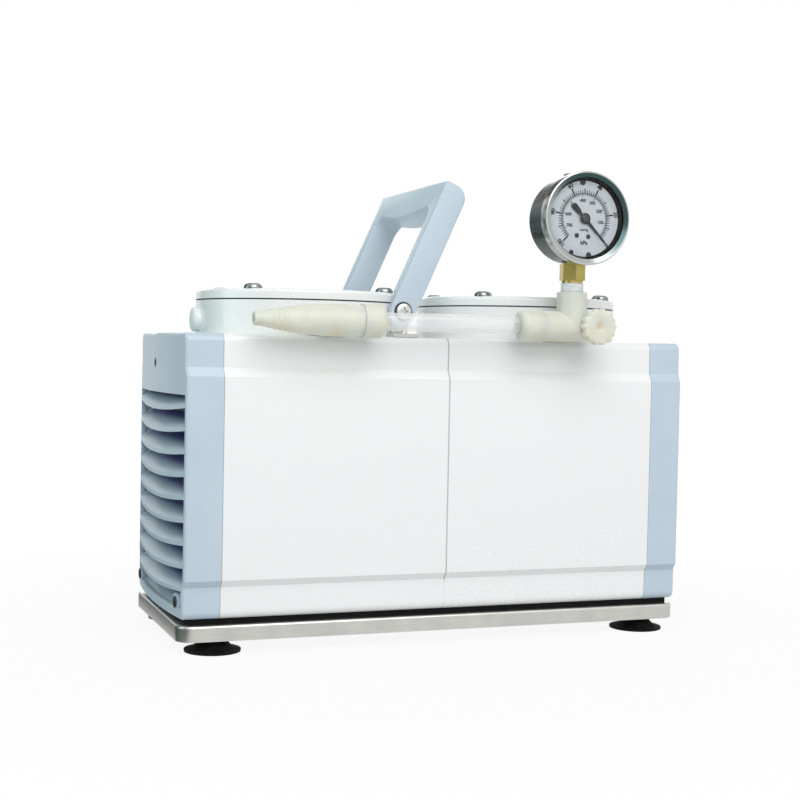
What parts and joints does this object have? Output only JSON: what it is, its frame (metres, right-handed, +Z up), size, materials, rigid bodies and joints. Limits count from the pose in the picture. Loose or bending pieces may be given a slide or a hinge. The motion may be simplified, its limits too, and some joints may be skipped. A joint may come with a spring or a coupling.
{
  "type": "diaphragm vacuum pump",
  "caption": "Twin-head diaphragm vacuum pump with louvred end covers, a vacuum gauge on a cross fitting, a hose nozzle, a fold-down carrying handle and rubber feet.",
  "frame": {"origin": "middle of the body on the plane that the rubber feet stand on", "axes": "+X along the motor shaft towards the head that carries the gauge cross, +Y from the front with the gauge and vacuum line to the rear with the mains inlet, +Z up"},
  "size_m": [0.309, 0.1651, 0.2687],
  "materials": {
    "plate_steel": "satin rolled steel sheet",
    "black_rubber": "matt black rubber",
    "zinc_steel": "bright zinc plate",
    "white_enamel": "gloss white enamel on cast aluminium",
    "grey_plastic": "satin pale blue-grey moulded plastic",
    "screw_chrome": "polished screw heads",
    "black_screws": "black oxide screws",
    "gasket_rubber": "dark rubber sheet",
    "silencer_plastic": "porous white plastic",
    "spring_steel": "thin stainless strip",
    "lamination": "stacked electrical steel sheet",
    "copper": "enamelled copper wire",
    "ground_steel": "ground steel",
    "cast_iron": "machined cast iron",
    "rod_aluminium": "die-cast aluminium",
    "fan_plastic": "matt black moulded plastic",
    "ivory_plastic": "translucent ivory plastic",
    "clear_tube": "clear soft tube",
    "sealing_tape": "white thread sealing tape",
    "gauge_brass": "machined brass",
    "gauge_steel": "polished steel",
    "red_rubber": "dark red rubber",
    "window_glass": "clear window",
    "dial_white": "white printed dial",
    "pointer_black": "black enamel",
    "black_plastic": "black moulded plastic"
  },
  "bodies": {
    "pump": {"base_plate": "plate_steel", "base_mat": "black_rubber", "foot_front_left": "black_rubber", "foot_front_right": "black_rubber", "foot_rear_left": "black_rubber", "foot_rear_right": "black_rubber", "base_fasteners": "zinc_steel", "housing_left": "white_enamel", "housing_right": "white_enamel", "end_cover_left": "grey_plastic", "end_cover_right": "grey_plastic", "cover_screws": "black_screws", "pump_head_left": "white_enamel", "pump_head_right": "white_enamel", "head_gasket_left": "gasket_rubber", "head_gasket_right": "gasket_rubber", "head_lid_left": "white_enamel", "head_lid_right": "white_enamel", "diaphragm_left": "gasket_rubber", "diaphragm_right": "gasket_rubber", "exhaust_silencer_left": "silencer_plastic", "exhaust_silencer_right": "silencer_plastic", "valve_flaps": "spring_steel", "lid_screws": "screw_chrome", "stator_core": "lamination", "stator_windings": "copper", "tie_bolts": "zinc_steel", "bearing_outer_rings": "ground_steel", "inlet_nozzle": "ivory_plastic", "tube_nuts": "ivory_plastic", "link_tube": "clear_tube", "gauge_cross": "ivory_plastic", "thread_tape": "sealing_tape", "gauge_stem": "gauge_brass", "gauge_case": "gauge_steel", "gauge_plug": "red_rubber", "gauge_bezel": "gauge_steel", "gauge_window": "window_glass", "gauge_dial": "dial_white", "gauge_movement": "gauge_brass", "handle_brackets": "plate_steel", "handle_screws": "zinc_steel", "power_inlet": "black_plastic"},
    "rotor": {"motor_shaft": "ground_steel", "rotor_core": "lamination", "bearing_inner_rings": "ground_steel", "eccentric_left": "cast_iron", "eccentric_right": "cast_iron", "cooling_fan_left": "fan_plastic", "cooling_fan_right": "fan_plastic"},
    "rod_left": {"connecting_rod_left": "rod_aluminium", "rod_bearing_left": "ground_steel", "diaphragm_clamp_left": "rod_aluminium"},
    "rod_right": {"connecting_rod_right": "rod_aluminium", "rod_bearing_right": "ground_steel", "diaphragm_clamp_right": "rod_aluminium"},
    "handle": {"carry_handle": "grey_plastic"},
    "needle": {"gauge_pointer": "pointer_black"},
    "regulator": {"regulator_knob": "ivory_plastic"},
    "rocker": {"switch_rocker": "black_plastic"}
  },
  "joints": [
    {"name": "motor_spin", "type": "hinge", "parent": "pump", "child": "rotor", "pos_m": [0, 0, 0.09], "axis": [1, 0, 0], "continuous": true},
    {"name": "left_rod_pivot", "type": "hinge", "parent": "rotor", "child": "rod_left", "pos_m": [-0.0695, 0, 0.0935], "axis": [1, 0, 0], "continuous": true, "deforming": ["diaphragm_left"]},
    {"name": "right_rod_pivot", "type": "hinge", "parent": "rotor", "child": "rod_right", "pos_m": [0.0695, 0, 0.0865], "axis": [1, 0, 0], "continuous": true, "deforming": ["diaphragm_right"]},
    {"name": "handle_fold", "type": "hinge", "parent": "pump", "child": "handle", "pos_m": [-0.0247, 0, 0.1875], "axis": [0, 1, 0], "range_deg": [0, 43]},
    {"name": "needle_turn", "type": "hinge", "parent": "pump", "child": "needle", "pos_m": [0.0695, -0.0898, 0.2416], "axis": [0, -1, 0], "range_deg": [0, 270]},
    {"name": "regulator_turn", "type": "hinge", "parent": "pump", "child": "regulator", "pos_m": [0.081, -0.09, 0.181], "axis": [0, -1, 0], "range_deg": [0, 720]},
    {"name": "switch_rock", "type": "hinge", "parent": "pump", "child": "rocker", "pos_m": [0.085, 0.067, 0.0755], "axis": [-1, 0, 0], "range_deg": [0, 16]}
  ],
  "couplings": [
    {"joint": "left_rod_pivot", "follows": "motor_spin", "ratio": -1},
    {"joint": "right_rod_pivot", "follows": "motor_spin", "ratio": -1}
  ]
}
